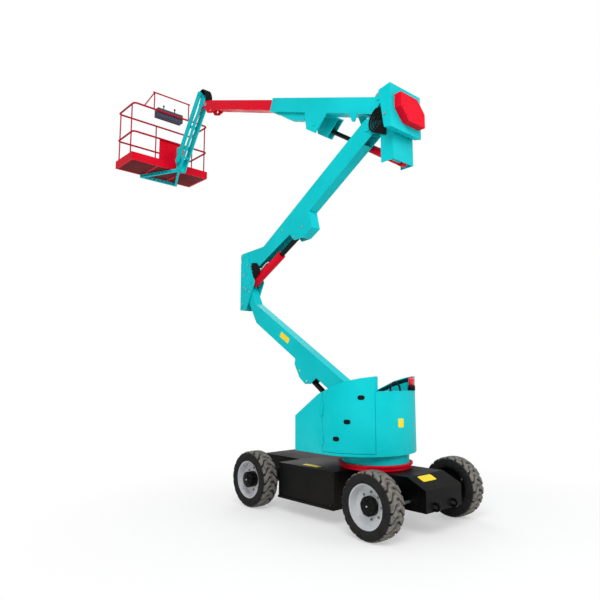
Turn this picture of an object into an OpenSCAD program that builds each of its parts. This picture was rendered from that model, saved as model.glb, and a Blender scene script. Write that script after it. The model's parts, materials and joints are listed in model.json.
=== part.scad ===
// Articulating boom lift: wheeled chassis, slewing turret, two folding riser arms,
// telescopic boom, jib and work platform. Shown with the arms part raised.
// +X points forwards, +Y to the left, +Z up; the origin is on the floor under the slew axis.

/* [Chassis] */
// Distance between the two axles
wheelbase = 2000; // [1900:10:2200]
// Distance between the middle planes of a pair of tyres
track = 1500; // [1480:10:1600]
// How far the slew axis sits ahead of the steering axle
slew_ahead = 590; // [540:10:640]
// Height of the chassis deck above the floor
deck_z = 600; // [570:5:620]
// Height of the chassis frame's underside above the floor
belly_z = 260; // [240:5:280]
// Width of the chassis frame
frame_w = 660; // [620:10:680]
// Thickness of the frame's plates
frame_wall = 20; // [12:1:25]
// Length of a battery box
battery_box_l = 970; // [900:10:1000]
// Distance between the outer faces of the battery boxes
battery_box_span = 1400; // [1300:10:1420]
// Height of the battery boxes above the floor
battery_box_z = 180; // [160:5:220]
// Greatest steering angle, each way
steer_max = 30; // [20:1:32]

/* [Wheels] */
// Diameter of a tyre over its lugs
tyre_d = 700; // [680:5:720]
// Width of a tyre
tyre_w = 240; // [220:5:250]
// Diameter of the rim's edge
rim_d = 464; // [440:2:480]
// Diameter of the wheel spindles
spindle_d = 90; // [80:1:100]

/* [Turret] */
// Diameter of the slew ring
ring_d = 850; // [800:10:860]
// Width of the turret over its covers
turret_w = 1320; // [1280:10:1360]
// How far the turret reaches ahead of the slew axis
turret_front = 720; // [700:10:760]
// How far the centre of the round tail lies ahead of the slew axis
tail_x = 210; // [180:10:240]
// Width of the open channel between the covers
channel_w = 640; // [630:10:660]
// Height of the covers' lower edge above the floor
cover_z = 800; // [780:5:820]
// Height of the covers' highest edge above the floor
cover_top_z = 1670; // [1620:10:1700]
// Height of the rear cover above the floor
rear_top_z = 1500; // [1450:10:1540]
// Height of the covers' front edge above the floor
cover_nose_z = 1190; // [1150:10:1220]
// Thickness of the covers
cover_wall = 12; // [8:1:16]
// Distance from the slew axis forward to the joint between front cover and door
door_seam_x = 240; // [220:5:260]

/* [Riser] */
// Angle of both riser arms above level
riser_angle = 32; // [3:1:65]
// Distance from the slew axis forward to the lower arm's pin
lower_pin_x = 150; // [140:5:160]
// Height of the lower arm's pin above the floor
lower_pin_z = 1321; // [1315:1:1330]
// Length of the lower arm, from pin to pin along its body
lower_l = 2935; // [2900:5:2980]
// How far the lower arm's end pin lies above the middle of its body
lower_rise = 187; // [180:1:195]
// Length of the upper arm, from pin to pin along its body
upper_l = 2949; // [2900:5:3000]
// How far the upper arm's body lies below its first pin
upper_drop = 323; // [318:1:330]
// How far the lower arm's body reaches above its pin
lower_up = 85; // [80:1:90]
// How far the lower arm's body reaches below its pin
lower_down = 155; // [150:1:160]
// Width of the lower arm
lower_w = 150; // [140:2:150]
// Depth of the upper arm
upper_depth = 266; // [256:2:270]
// Width of the upper arm
upper_w = 160; // [156:2:170]
// Thickness of the arms' plates
arm_wall = 8; // [6:1:10]

/* [Boom] */
// Angle of the main boom above level
boom_angle = 21; // [5:1:76]
// Length of the main boom ahead of its pin
boom_l = 2300; // [2200:10:2400]
// Depth of the main boom
boom_depth = 214; // [206:2:220]
// Width of the main boom
boom_w = 200; // [192:2:206]
// Thickness of the boom's plates
boom_wall = 6; // [5:1:8]
// Distance from the main boom's pin to the fly section's end pin
fly_reach = 4420; // [4300:10:4600]
// Length of the fly section
fly_l = 3170; // [3000:10:3250]
// Depth of the fly section
fly_depth = 160; // [150:2:170]
// Width of the fly section
fly_w = 170; // [160:2:176]

/* [Jib] */
// Angle of the jib below level
jib_angle = 55; // [-50:1:70]
// Length of the jib from pin to pin
jib_l = 1310; // [1250:10:1350]
// Width of the jib over its rails
jib_w = 220; // [210:2:226]

/* [Platform] */
// Width of the platform across the machine
platform_w = 1680; // [1500:10:1850]
// Depth of the platform along the machine
platform_d = 720; // [700:10:800]
// Height of the top rail above the platform's floor
rail_h = 1150; // [1050:10:1180]
// Height of the toe-boards
toe_h = 150; // [120:5:180]
// Diameter of the rail tubes
rail_tube = 36; // [28:1:38]

/* [Hidden] */

$fn = 64;

teal = [0.02, 0.74, 0.74];
red = [0.86, 0.02, 0.12];
black = [0.03, 0.03, 0.04];
grey = [0.75, 0.77, 0.79];
steel = [0.62, 0.62, 0.64];

// Overrun of every cut, gap round a pin, and gap between faces that slide or turn
cut = 10;
pin_gap = 0.3;
side_gap = 5;

// Places along the machine
steer_x = -slew_ahead;
drive_x = wheelbase - slew_ahead;
axle_z = tyre_d / 2;
half_track = track / 2;

// Chassis details
front_overhang = 330;
frame_front = drive_x + front_overhang;
rear_overhang = 370;
frame_rear = steer_x - rear_overhang;
frame_slope = 230;
frame_slope_drop = 110;
battery_gap = 75;
battery_box_x = drive_x - tyre_d / 2 - battery_gap - battery_box_l;
battery_box_top = deck_z;
battery_box_wall = 8;
battery_room = 75;
battery_side_room = 110;
battery_l = battery_box_l - 2 * battery_room;
battery_w = (battery_box_span - frame_w) / 2 - battery_side_room;
battery_h = 280;
lip_h = 26;
lip_out = 14;
axle_d = 150;
axle_arm_gap = 2;
gear_d = 300;
gear_l = 260;
lug_r = 45;
lug_t = 24;
lug_bore = 44;
lug_out = 60;

// Wheel details
tyre_shoulder = 34;
tyre_bulge = 12;
rim_wall = 14;
rim_dish = 100;
rim_disc_t = 18;
hub_d = 190;
hub_l = 120;
cap_d = 150;
cap_l = 70;
wheel_bolts = 8;
wheel_bolt_d = 22;
wheel_bolt_ring = 275;
wheel_bolt_h = 16;

// Steering details
spindle_swell = 1.3;
spindle_out = 20;
spindle_room = 30;
king_inset = 190;
king_y = half_track - king_inset;
king_d = 50;
king_body_d = 110;
king_body_h = 180;
yoke_t = 36;
yoke_w = 130;
steer_beam_w = 150;
steer_beam_h = 120;
steer_arm_l = 150;
steer_arm_t = 26;
steer_arm_w = 60;
steer_rod_d = 36;
steer_barrel_d = 80;
steer_barrel_l = 320;

// Slew ring and turntable details
ring_h = 60;
turn_gap = 1;
turn_ring_z = deck_z + ring_h + turn_gap;
turn_ring_step = 20;
turn_ring_d = ring_d - 2 * turn_ring_step;
turn_plate_t = 30;
turn_plate_z = cover_z - turn_plate_t;
ear_t = 18;
ear_y = lower_w / 2 + side_gap;
tail_r = turret_w / 2;
ring_flange = 20;
spigot_d = ring_d - 8 * ring_flange;
turn_ring_wall = 70;
weight_h = 300;
beacon_share = 0.348;
beacon_y = tail_r * beacon_share;
beacon_back = 60;
beacon_d = 90;
beacon_h = 170;
weight_w = 600;
weight_l = 330;
nose_low = [turret_front, cover_nose_z];
nose_high = [turret_front, cover_top_z];
nose_knee = [-410, 270];
nose_brow = [780, 60];
nose_crown = [940, 20];
tail_depth = 120;
tail_l = tail_r - tail_depth;
door_rear = tail_x - tail_l;
hinge_r = 14;
hinge_l = 70;
hinge_pin_d = 14;
hinge_gap = 1;
hinge_rise = [80, 420];
hinge_z = [cover_z + hinge_rise[0], cover_z + hinge_rise[1]];

// Pins of the riser, each as [forward, up]
lower_pin = [lower_pin_x, lower_pin_z];
pin_d = 60;
link_pin_d = 40;
boss_r = 70;
lower_base_pin = [100, 900];
lower_eye = [975, -262];
knuckle_pin = lower_pin + turned(riser_angle, [lower_l, lower_rise]);
knuckle_top_shift = [105, 528];
knuckle_top = knuckle_pin + knuckle_top_shift;
knuckle_centre_shift = [-120, 98];
knuckle_centre = knuckle_pin + knuckle_centre_shift;
knuckle_bolts = [[0, 248], [95, -272]];
ear_knee_shift = [95, -272];
ear_knee = lower_pin + ear_knee_shift;
upper_eye = [1139, -549];
top_pin = knuckle_top + turned_back(riser_angle, [upper_l, -upper_drop]);
boom_pin_shift = [-220, 341];
boom_pin = top_pin + boom_pin_shift;
main_base_pin_shift = [-342, -487];
main_base_pin = top_pin + main_base_pin_shift;
main_eye = [1147, -375];
main_bore = 110;
main_y = -(upper_w / 2 + main_bore);
lower_bore = 122;
upper_bore = 125;
jib_bore = 62;

// Arm details
neck_angle = 31;
lower_neck_l = 498;
lower_kink = lower_l - lower_neck_l;
neck_r = 70;
heel_share = 0.9;
lower_shut = [1370, 2350];
upper_kink = [487, -190];
upper_heel = [172, -377];
upper_shut = 1560;
lower_bracket = [[1370, -140], [1330, -230], [1150, -330], [1000, -345], [915, -290], [850, -140]];
upper_bracket = [[1554, -446], [1469, -700], [1253, -692], [1084, -596], [1048, -440]];
upper_bracket_core = [[1540, -400], [1459, -690], [1256, -684], [1000, -640], [1000, -400]];
main_bracket_side = [[1422, -208], [1293, -455], [1072, -504], [924, -208]];
hose_box = [[2280, -208], [2065, -253], [1809, -316], [1430, -316], [1430, -208]];
hose_box_w = 120;
small_lug = [[480, -208], [380, -320], [330, -320], [320, -208]];
bracket_t = 14;
small_lug_y = boom_w / 2 - bracket_t;
fork_start = 160;
eye_w = 76;
eye_gap = 4;
eye_r = 45;

// Middle knuckle details
knuckle_plate_t = 15;
knuckle_y = upper_w / 2 + side_gap;
knuckle_front = 145;
knuckle_up = 580;
knuckle_down = 330;
knuckle_back = 210;
knuckle_edge = 5;
web_share = 0.92;
pin_head_d = 84;
pin_head_t = 8;

// Top knuckle details
box_w = 600;
box_front = -378;
box_front_low = -455;
box_rear = -560;
box_low = -200;
box_high = 300;
box_peak = 331;
inset_drop = 25;
box_wall = 10;
tongue_t = 15;
tongue_y = 50;
tongue_r = 75;
sub_front = -235;
sub_rear = -430;
sub_low = -535;
sub_in = 100;
lid_left = 220;
lid_right = -250;
lid_low = -123;
lid_high = 202;
lid_t = 100;
lid_cut = 147;

// Boom details
boom_start = 200;
boom_tail = 60;
pad_l = 120;
fly_wall = 5;
tip_r = 70;
tip_cheek_t = 12;
tip_cheek = [[-420, -80], [-420, 80], [0, 66], [0, -66], [-130, -150], [-290, -150]];
tip_hole = [-216, -85];
tip_hole_d = 60;

// Cylinder details
barrel_share = 0.62;
jib_barrel_share = 0.82;
lower_retract = 215;
upper_retract = 275;
main_retract = 220;
jib_retract = 50;
small_eye_r = 30;
barrel_wall = 10;
rod_share = 0.6;

// Jib places, worked out from the fly section's end
fly_tip = boom_pin + turned(boom_angle, [fly_reach, -boom_depth / 2]);
jib_pin_shift = [215, 275];
jib_pin = fly_tip + jib_pin_shift;
jib_link_shift = [-10, -195];
jib_link_pin = jib_pin + jib_link_shift;
jib_end = jib_pin + turned(-jib_angle, [jib_l, 0]);
jib_link_end = jib_end + jib_link_shift;
jib_base_pin_shift = [50, -170];
jib_base_pin = jib_pin + jib_base_pin_shift;
jib_eye = [620, 25];
jib_rail_w = 31;
jib_rail_h = 120;
jib_bar_y = 48;
jib_bar_w = 18;
jib_bar_h = 90;
jib_pin_d = 36;
jib_boss_r = 45;
jib_brace_share = 0.8;
tip_plate_t = 8;

// Platform places
rotor_ahead = 110;
rotor_x = jib_end[0] + rotor_ahead;
rotor_d = 100;
rotor_h = 420;
rotor_drop = 118;
rotor_low = jib_end[1] - rotor_drop;
rotor_gap = 1;
spindle_pin_d = 60;
platform_ahead = 135;
platform_rear = rotor_x + platform_ahead;
floor_z = rotor_low - rotor_gap;
floor_plate_t = 5;
toe_t = 4;
rail_inset = 20;
rail_bend = 60;
post_tube = 26;
mid_rail_share = 0.5;
platform_shift = 100;
console_w = 560;
console_d = 150;
console_h = 170;
console_rise = 85;
console_shift = 20;
guard_left = 400;
guard_right = -370;
guard_up = 350;
guard_tube = 28;
guard_lean = 210;
panel_left = 250;
panel_right = -300;
panel_t = 6;
hole_d = 36;
hole_pitch = 90;
carrier_h = 60;
carrier_w = 50;
carrier_reach = 830;
carrier_half = 390;

// A point [along, across] of a part that is raised by an angle, as [forward, up]
function turned(a, p) = [p[0] * cos(a) - p[1] * sin(a), p[0] * sin(a) + p[1] * cos(a)];
// The same for a part that points backwards
function turned_back(a, p) = [-p[0] * cos(a) + p[1] * sin(a), p[0] * sin(a) + p[1] * cos(a)];

// Places a part drawn along +X at a pin, raised by an angle
module at(p, a = 0) {
    translate([p[0], 0, p[1]]) rotate([0, -a, 0]) children();
}
// Places a part drawn along +X so that it points backwards from a pin
module back_at(p, a) {
    translate([p[0], 0, p[1]]) rotate([0, a, 0]) mirror([1, 0, 0]) children();
}
// A flat outline made a plate of thickness t that stands upright, from y outwards
module plate(y, t) {
    translate([0, y + t, 0]) rotate([90, 0, 0]) linear_extrude(t) children();
}
// The same plate on both sides of the middle plane
module plates(y, t) {
    plate(y, t) children();
    plate(-y - t, t) children();
}
// An outline through the middle plane, w wide
module slab(w) {
    rotate([90, 0, 0]) linear_extrude(w, center = true) children();
}
// A round bar across the machine at [forward, up]
module bar(p, d, w) {
    translate([p[0], 0, p[1]]) rotate([90, 0, 0]) cylinder(d = d, h = w, center = true);
}
// A pin with a head at each end
module headed_pin(p, d, w) {
    bar(p, d, w + pin_head_t);
    for (s = [-1, 1])
        translate([p[0], s * (w / 2 + pin_head_t / 2 + pin_gap), p[1]])
            rotate([90, 0, 0]) cylinder(d = d * pin_head_d / pin_d, h = pin_head_t, center = true);
}
// A mirror image beside the original
module both_sides() {
    children();
    mirror([0, 1, 0]) children();
}

// A strap outline between two round ends
module strap(a, b, r) {
    translate(a) circle(r);
    translate(b) circle(r);
    web(a, b, r);
}
// The straight part of a strap, a little narrower than its ends
module web(a, b, r) {
    d = b - a;
    h = r * web_share;
    translate(a) rotate(atan2(d[1], d[0])) translate([0, -h]) square([norm(d), 2 * h]);
}

// Chassis
module frame_outline() {
    polygon([[frame_rear, belly_z], [frame_front, belly_z], [frame_front, deck_z],
        [frame_rear + frame_slope, deck_z],
        [frame_rear, deck_z - frame_slope_drop]]);
}
module frame_core() {
    polygon([[frame_rear + frame_wall, belly_z + frame_wall], [frame_front - frame_wall,
        belly_z + frame_wall],
        [frame_front - frame_wall, deck_z - frame_wall], [frame_rear + frame_slope, deck_z - frame_wall],
        [frame_rear + frame_wall, deck_z - frame_slope_drop - frame_wall]]);
}
module tie_down_lugs() {
    for (x = [frame_rear - lug_out + lug_r, frame_front + lug_out - lug_r], y = [-1, 1])
        translate([x, y * frame_w / 4, belly_z + lug_r])
            rotate([90, 0, 0]) difference() {
                union() {
                    cylinder(r = lug_r, h = lug_t, center = true);
                    translate([x < 0 ? 0 : -lug_out, -lug_r, -lug_t / 2]) cube([lug_out, 2 * lug_r, lug_t]);
                }
                cylinder(d = lug_bore, h = lug_t + 2 * cut, center = true);
            }
}
module chassis_frame() {
    color(black) {
        difference() {
            slab(frame_w) frame_outline();
            slab(frame_w - 2 * frame_wall) frame_core();
            bar([drive_x, axle_z], axle_d, frame_w + 2 * cut);
            bar([drive_x, axle_z], gear_d, gear_l);
            bar([steer_x - steer_arm_l, axle_z], steer_rod_d + 2 * side_gap, frame_w + 2 * cut);
            translate([steer_x - steer_beam_w / 2, -frame_w / 2 - cut, axle_z - steer_beam_h / 2])
                cube([steer_beam_w, frame_w + 2 * cut, steer_beam_h]);
        }
        difference() {
            tie_down_lugs();
            slab(frame_w - 2 * frame_wall) frame_core();
        }
    }
}
module battery_shell(inset) {
    translate([battery_box_x + inset, frame_w / 2 + inset, battery_box_z + inset])
        cube([battery_box_l - 2 * inset, battery_box_span / 2 - frame_w / 2 - 2 * inset,
            battery_box_top - battery_box_z - 2 * inset]);
}
module battery_boxes() {
    color(black) both_sides() {
        difference() {
            battery_shell(0);
            battery_shell(battery_box_wall);
        }
        translate([battery_box_x, battery_box_span / 2, battery_box_z])
            cube([battery_box_l, lip_out, lip_h]);
    }
}
module batteries() {
    color(grey) both_sides()
        translate([battery_box_x + (battery_box_l - battery_l) / 2, frame_w / 2 + battery_box_wall,
            battery_box_z + battery_box_wall])
            cube([battery_l, battery_w, battery_h]);
}
module drive_axle() {
    color(black) {
        bar([drive_x, axle_z], axle_d, track - tyre_w);
        bar([drive_x, axle_z], gear_d, gear_l);
        bar([drive_x, axle_z], spindle_d, track + 2 * spindle_out);
    }
}
module steer_axle() {
    color(black) {
        translate([steer_x - steer_beam_w / 2, -king_y + yoke_w, axle_z - steer_beam_h / 2])
            cube([steer_beam_w, 2 * king_y - 2 * yoke_w, steer_beam_h]);
        both_sides() steer_yoke();
        translate([steer_x - steer_arm_l, 0, axle_z]) rotate([90, 0, 0])
            difference() {
                cylinder(d = steer_barrel_d, h = steer_barrel_l, center = true);
                cylinder(d = steer_rod_d + 2 * pin_gap, h = steer_barrel_l + 2 * cut, center = true);
            }
        translate([steer_x - steer_arm_l + steer_barrel_d / 2 - cut, -steer_barrel_l / 4,
            axle_z - steer_rod_d / 2])
            cube([steer_arm_l - steer_barrel_d / 2 - steer_beam_w / 2 + 2 * cut, steer_barrel_l / 2,
                steer_rod_d]);
    }
}
module steer_yoke() {
    yoke_gap = king_body_h / 2 + axle_arm_gap;
    difference() {
        union() {
            for (s = [-1, 1])
                translate([steer_x, king_y, axle_z + s * (yoke_gap + yoke_t / 2)]) {
                    cylinder(d = yoke_w, h = yoke_t, center = true);
                    translate([-yoke_w / 2, -yoke_w, -yoke_t / 2]) cube([yoke_w, yoke_w, yoke_t]);
                }
            translate([steer_x - yoke_w / 2, king_y - yoke_w - yoke_t, axle_z - yoke_gap - yoke_t])
                cube([yoke_w, yoke_t + yoke_w / 4, 2 * yoke_gap + 2 * yoke_t]);
        }
        translate([steer_x, king_y, axle_z])
            cylinder(d = king_d + 2 * pin_gap, h = 2 * (yoke_gap + yoke_t + cut), center = true);
    }
}
module slew_ring() {
    color(red) translate([0, 0, deck_z]) {
        difference() {
            cylinder(d = ring_d, h = ring_h);
            translate([0, 0, -cut]) cylinder(d = spigot_d, h = ring_h + 2 * cut);
        }
        translate([0, 0, ring_h - ring_flange]) difference() {
            cylinder(d = ring_d + 2 * ring_flange, h = ring_flange);
            translate([0, 0, -cut]) cylinder(d = ring_d - 2 * ring_flange, h = ring_flange + 2 * cut);
        }
    }
}
module steer_rod() {
    color(steel) translate([steer_x - steer_arm_l, 0, axle_z]) {
        rotate([90, 0, 0]) cylinder(d = steer_rod_d * web_share, h = 2 * king_y, center = true);
        for (s = [-1, 1]) translate([0, s * king_y, 0])
            cylinder(d = steer_arm_w, h = steer_rod_d, center = true);
    }
}

// Wheels: drawn for the left side and mirrored for the right
module wheel_place(x, side) {
    translate([x, side * half_track, axle_z]) rotate([side > 0 ? -90 : 90, 0, 0]) children();
}
module tyre_profile() {
    r = tyre_d / 2;
    polygon([[rim_d / 2, -tyre_w / 2 + tyre_bulge], [r - 2 * tyre_shoulder, -tyre_w / 2],
        [r - tyre_shoulder / 2,
        -tyre_w / 2 + tyre_bulge], [r, -tyre_w / 2 + tyre_shoulder], [r, tyre_w / 2 - tyre_shoulder],
        [r - tyre_shoulder / 2, tyre_w / 2 - tyre_bulge], [r - 2 * tyre_shoulder, tyre_w / 2],
        [rim_d / 2, tyre_w / 2 - tyre_bulge]]);
}
module tyre() {
    color(black) rotate_extrude() tyre_profile();
}
module rim(hub_out_d, hub_out_l) {
    color(grey) difference() {
        union() {
            difference() {
                cylinder(d = rim_d, h = tyre_w - 2 * tyre_bulge, center = true);
                cylinder(d = rim_d - 2 * rim_wall, h = tyre_w + cut, center = true);
            }
            translate([0, 0, -rim_disc_t / 2]) cylinder(d = rim_d - rim_wall, h = rim_disc_t);
            for (i = [0 : wheel_bolts - 1]) rotate(i * 360 / wheel_bolts)
                translate([wheel_bolt_ring / 2, 0, 0])
                    cylinder(d = wheel_bolt_d, h = rim_disc_t / 2 + wheel_bolt_h);
            cylinder(d = hub_out_d, h = hub_out_l);
        }
        translate([0, 0, -rim_disc_t - cut])
            cylinder(d = spindle_d + 2 * pin_gap, h = rim_disc_t + cut + spindle_room);
    }
}
module drive_tyre_left() { wheel_place(drive_x, 1) tyre(); }
module drive_tyre_right() { wheel_place(drive_x, -1) tyre(); }
module steer_tyre_left() { wheel_place(steer_x, 1) tyre(); }
module steer_tyre_right() { wheel_place(steer_x, -1) tyre(); }
module drive_rim_left() { wheel_place(drive_x, 1) rim(hub_d, hub_l); }
module drive_rim_right() { wheel_place(drive_x, -1) rim(hub_d, hub_l); }
module steer_rim_left() { wheel_place(steer_x, 1) rim(cap_d, cap_l); }
module steer_rim_right() { wheel_place(steer_x, -1) rim(cap_d, cap_l); }

// Steering knuckles: a kingpin with a spindle outwards and an arm to the rear
module knuckle_body() {
    color(black) translate([steer_x, king_y, axle_z]) {
        cylinder(d = king_body_d, h = king_body_h, center = true);
        cylinder(d = king_d, h = king_body_h + 2 * (yoke_t + axle_arm_gap), center = true);
        rotate([-90, 0, 0]) cylinder(d = spindle_d, h = half_track - king_y + spindle_out);
        rotate([-90, 0, 0]) cylinder(d = spindle_d * spindle_swell, h = half_track - king_y - rim_disc_t);
        translate([-steer_arm_l, 0, steer_rod_d / 2 + pin_gap]) {
            cylinder(d = steer_arm_w, h = steer_arm_t);
            translate([0, -steer_arm_w / 2, 0]) cube([steer_arm_l, steer_arm_w, steer_arm_t]);
        }
    }
}
module steer_knuckle_left() { knuckle_body(); }
module steer_knuckle_right() { mirror([0, 1, 0]) knuckle_body(); }

// Turret plan: flat sides and a round tail
module turret_plan(inset) {
    intersection() {
        union() {
            translate([tail_x, 0]) circle(tail_r - inset, $fn = 128);
            translate([tail_x, -turret_w / 2 + inset])
                square([turret_front - tail_x - inset, turret_w - 2 * inset]);
        }
        translate([tail_x - tail_r, -turret_w / 2]) square([turret_front - tail_x + tail_r, turret_w]);
    }
}
module turntable_ear() {
    r = boss_r + bracket_t;
    h = r * web_share;
    translate(lower_pin) circle(r);
    polygon([lower_pin + [-h, 0], lower_pin + [h / 2, h / 2], ear_knee + [h, 0],
        [ear_knee[0] + 2 * boss_r, turn_plate_z + cut], [lower_base_pin[0] - 2 * boss_r,
            turn_plate_z + cut]]);
}
module turntable() {
    color(teal) {
        translate([0, 0, turn_ring_z]) difference() {
            cylinder(d = turn_ring_d, h = turn_plate_z - turn_ring_z);
            translate([0, 0, -cut]) cylinder(d = turn_ring_d - 2 * turn_ring_wall, h = turn_plate_z);
        }
        translate([0, 0, deck_z + ring_h / 3]) difference() {
            cylinder(d = spigot_d - 2 * side_gap, h = turn_ring_z - deck_z);
            translate([0, 0, -cut]) cylinder(d = spigot_d - 2 * turn_ring_wall, h = turn_ring_z);
        }
        translate([0, 0, turn_plate_z]) linear_extrude(turn_plate_t) turret_plan(0);
        plates(ear_y, ear_t) turntable_ear();
        headed_pin(lower_pin, pin_d, 2 * (ear_y + ear_t));
        bar(lower_base_pin, link_pin_d, 2 * ear_y + ear_t);
    }
}
module counterweight() {
    color(black) translate([0, 0, cover_z]) linear_extrude(weight_h) intersection() {
        turret_plan(3 * cover_wall);
        translate([tail_x - tail_r, -weight_w / 2]) square([weight_l, weight_w]);
    }
}
// Height profile of the covers: nose, rising slope, top
module cover_profile(low) {
    polygon([[turret_front + cut, low], [turret_front + cut, cover_nose_z], [turret_front, cover_nose_z],
        nose_low + nose_knee, nose_high - nose_brow,
        nose_high - nose_crown, [door_rear, cover_top_z], [door_rear - cut, cover_top_z],
        [door_rear - cut, low]]);
}
// The left cover's space between two stations, drawn in by a wall thickness
module cover_block(x0, x1, y0, wall, low) {
    intersection() {
        translate([0, 0, cover_z - cut]) linear_extrude(cover_top_z) intersection() {
            turret_plan(wall);
            translate([x0, y0]) square([x1 - x0, turret_w]);
        }
        slab(2 * turret_w) translate([0, -wall]) cover_profile(low);
    }
}
// Door hinges: the pin and the lower barrel belong to the front cover, the upper barrel to the door
module hinge_place() {
    for (z = hinge_z) translate([door_seam_x - side_gap / 2, turret_w / 2 + hinge_r / 2, z]) children();
}
module hinge_leaf(reach, h) {
    cylinder(r = hinge_r, h = h);
    translate([min(0, reach), -hinge_r, 0]) cube([abs(reach), hinge_r * web_share, h]);
}
module front_covers() {
    wall_top = cover_wall + 10 * side_gap;
    color(teal) both_sides() {
        difference() {
            cover_block(door_seam_x, turret_front + cut, channel_w / 2, 0, cover_z);
            cover_block(door_seam_x - cut, turret_front + cut, channel_w / 2 + cover_wall, cover_wall,
                cover_z);
            hinge_place() translate([0, 0, hinge_l])
                cylinder(r = hinge_r + hinge_gap, h = hinge_l + 2 * hinge_gap);
        }
        hinge_place() {
            hinge_leaf(2 * hinge_r, hinge_l);
            cylinder(d = hinge_pin_d, h = 2 * hinge_l);
        }
        intersection() {
            plate(channel_w / 2, cover_wall) translate([0, -wall_top]) cover_profile(cover_z);
            translate([door_rear + wall_top, 0, cover_z])
                cube([door_seam_x - door_rear, turret_w, cover_top_z]);
        }
    }
}
module door_shell() {
    low = cover_z + side_gap;
    color(teal) {
        difference() {
            cover_block(door_rear, door_seam_x - side_gap, channel_w / 2, 0, low);
            cover_block(door_rear - cut, door_seam_x, channel_w / 2 - cut, cover_wall, low);
            hinge_place() cylinder(r = hinge_r + hinge_gap, h = hinge_l + hinge_gap);
        }
        hinge_place() translate([0, 0, hinge_l + hinge_gap]) difference() {
            hinge_leaf(-2 * hinge_r, hinge_l);
            translate([0, 0, -cut]) cylinder(d = hinge_pin_d + 2 * pin_gap, h = 2 * hinge_l);
        }
        intersection() {
            cover_block(door_rear, door_rear + cover_wall, channel_w / 2, 0, low);
            translate([door_rear - cut, 0, rear_top_z + side_gap]) cube([turret_w, turret_w, cover_top_z]);
        }
    }
}
module door_left() { door_shell(); }
module door_right() { mirror([0, 1, 0]) door_shell(); }
module rear_cover() {
    color(teal) difference() {
        translate([0, 0, cover_z]) linear_extrude(rear_top_z - cover_z) turret_plan(0);
        translate([0, 0, cover_z - cut]) linear_extrude(rear_top_z - cover_z - cover_wall + cut)
            turret_plan(cover_wall);
        translate([door_rear - side_gap, -turret_w, cover_z - cut])
            cube([2 * turret_w, 2 * turret_w, cover_top_z]);
    }
}
module beacon() {
    color(red) translate([door_rear - beacon_back, -beacon_y, rear_top_z])
        cylinder(d = beacon_d, h = beacon_h);
}

// Riser
module lower_outline() {
    s = sin(neck_angle);
    c = cos(neck_angle);
    tip = [lower_l, lower_rise];
    tip_low = tip + neck_r * [s, -c];
    tip_high = tip + neck_r * [-s, c];
    back = lower_up * heel_share;
    circle(lower_up);
    translate(tip) circle(neck_r);
    polygon([[-back, 0], [-back, -lower_down / 2], [-back / 2, -lower_down], [lower_kink, -lower_down],
        tip_low,
        tip_high, [tip_high[0] - (tip_high[1] - lower_up) * c / s, lower_up], [0, lower_up]]);
}
module lower_arm() {
    color(teal) at(lower_pin, riser_angle) difference() {
        union() {
            difference() {
                slab(lower_w) lower_outline();
                slab(lower_w - 2 * arm_wall) translate([0, -arm_wall]) lower_outline();
            }
            slab(lower_w - arm_wall) translate([lower_shut[0], -lower_down])
                square([lower_shut[1] - lower_shut[0], arm_wall]);
            plates(lower_w / 2 - bracket_t, bracket_t) polygon(lower_bracket);
            eye_bosses(lower_eye, lower_w / 2 - cut);
        }
        bar([0, 0], pin_d + 2 * pin_gap, lower_w + 2 * cut);
        bar([lower_l, lower_rise], pin_d + 2 * pin_gap, lower_w + 2 * cut);
    }
}
// Bosses on a bracket's plates that hold a rod's eye between them
module eye_bosses(p, out) {
    plates(eye_w / 2 + eye_gap, out - eye_w / 2 - eye_gap) translate(p) circle(small_eye_r);
}

module middle_outline() {
    p = knuckle_pin;
    polygon([p + [knuckle_front, -knuckle_down], p + [knuckle_front, knuckle_up], p + [0, knuckle_up],
        p + [-knuckle_back, knuckle_centre[1] - p[1]], p + [0, -knuckle_down]]);
}
module middle_knuckle() {
    color(teal) {
        plates(knuckle_y, knuckle_plate_t) middle_outline();
        translate([knuckle_pin[0] + knuckle_front - knuckle_plate_t,
            -knuckle_y - knuckle_plate_t - knuckle_edge,
            knuckle_pin[1] - knuckle_down])
            cube([knuckle_plate_t, 2 * (knuckle_y + knuckle_plate_t + knuckle_edge),
                knuckle_top[1] - boss_r - 4 * side_gap - knuckle_pin[1] + knuckle_down]);
        for (p = [knuckle_pin, knuckle_top]) headed_pin(p, pin_d, 2 * (knuckle_y + knuckle_plate_t));
        headed_pin(knuckle_centre, link_pin_d, 2 * (knuckle_y + knuckle_plate_t));
        for (p = knuckle_bolts)
            plates(knuckle_y + knuckle_plate_t / 2, knuckle_plate_t / 2 + pin_head_t)
                translate(knuckle_pin + p) circle(link_pin_d / 2);
    }
}

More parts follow.
